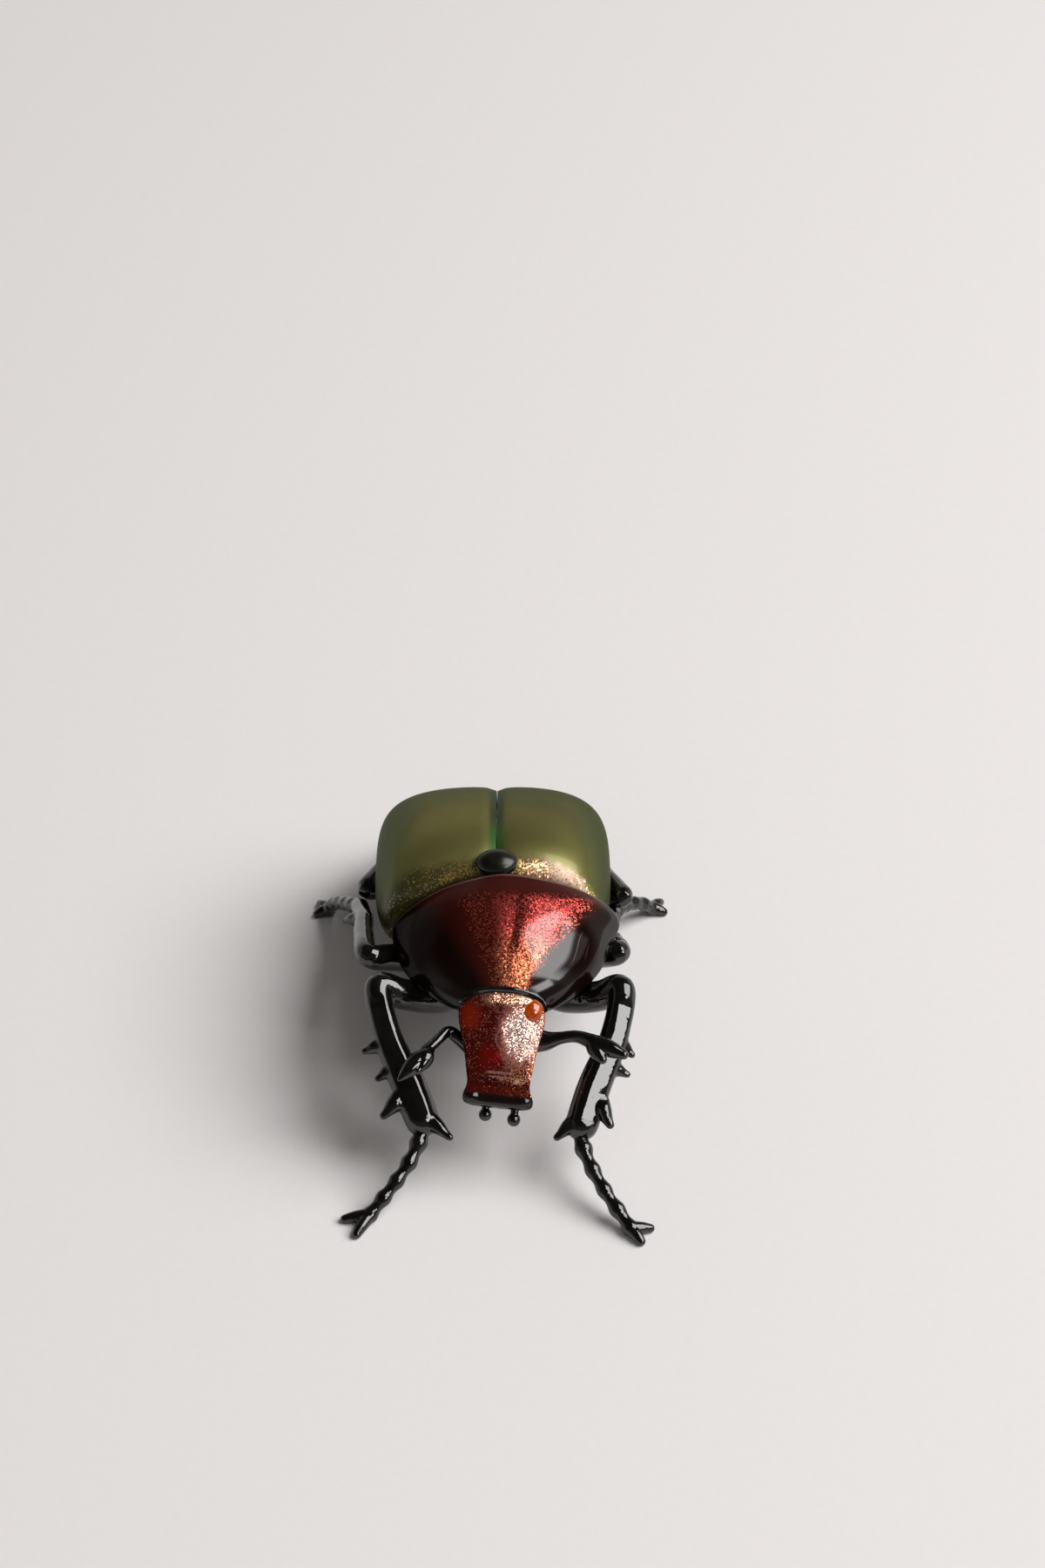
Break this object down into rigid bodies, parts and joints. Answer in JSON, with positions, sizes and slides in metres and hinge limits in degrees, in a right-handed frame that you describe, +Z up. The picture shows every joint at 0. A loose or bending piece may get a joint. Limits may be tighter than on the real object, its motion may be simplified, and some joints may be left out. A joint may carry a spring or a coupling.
{
  "type": "glass beetle figure",
  "caption": "Small flameworked glass figure of a flower beetle, with a copper-red shield and head, green wing cases, amber eyes and black jointed legs, standing on its feet.",
  "frame": {"origin": "centre of the bounding box in X and Y, on the surface that the feet stand on", "axes": "+X towards the beetle's left side, +Y from head to rear, +Z up"},
  "size_m": [0.0442, 0.0728, 0.0255],
  "materials": {
    "black_glass": "opaque black glass, fire polished",
    "copper_red_glass": "copper-red aventurine glass with fine metallic flakes under a clear gloss, black at the sides",
    "green_glass": "olive-green lustre glass, satin sheen under a clear gloss, gold flakes at the front edge",
    "amber_glass": "amber-orange glass, fire polished"
  },
  "bodies": {
    "root": {"pronotum": "copper_red_glass", "head": "copper_red_glass", "neck": "black_glass", "chest": "black_glass", "abdomen": "black_glass", "scutellum": "black_glass", "left_elytron": "green_glass", "right_elytron": "green_glass", "left_eye": "amber_glass", "right_eye": "amber_glass", "left_antenna": "black_glass", "right_antenna": "black_glass", "left_palp": "black_glass", "right_palp": "black_glass", "front_left_femur": "black_glass", "front_left_tibia": "black_glass", "front_left_tarsus": "black_glass", "front_right_femur": "black_glass", "front_right_tibia": "black_glass", "front_right_tarsus": "black_glass", "middle_left_femur": "black_glass", "middle_left_tibia": "black_glass", "middle_left_tarsus": "black_glass", "middle_right_femur": "black_glass", "middle_right_tibia": "black_glass", "middle_right_tarsus": "black_glass", "hind_left_femur": "black_glass", "hind_left_tibia": "black_glass", "hind_left_tarsus": "black_glass", "hind_right_femur": "black_glass", "hind_right_tibia": "black_glass", "hind_right_tarsus": "black_glass"}
  },
  "joints": []
}
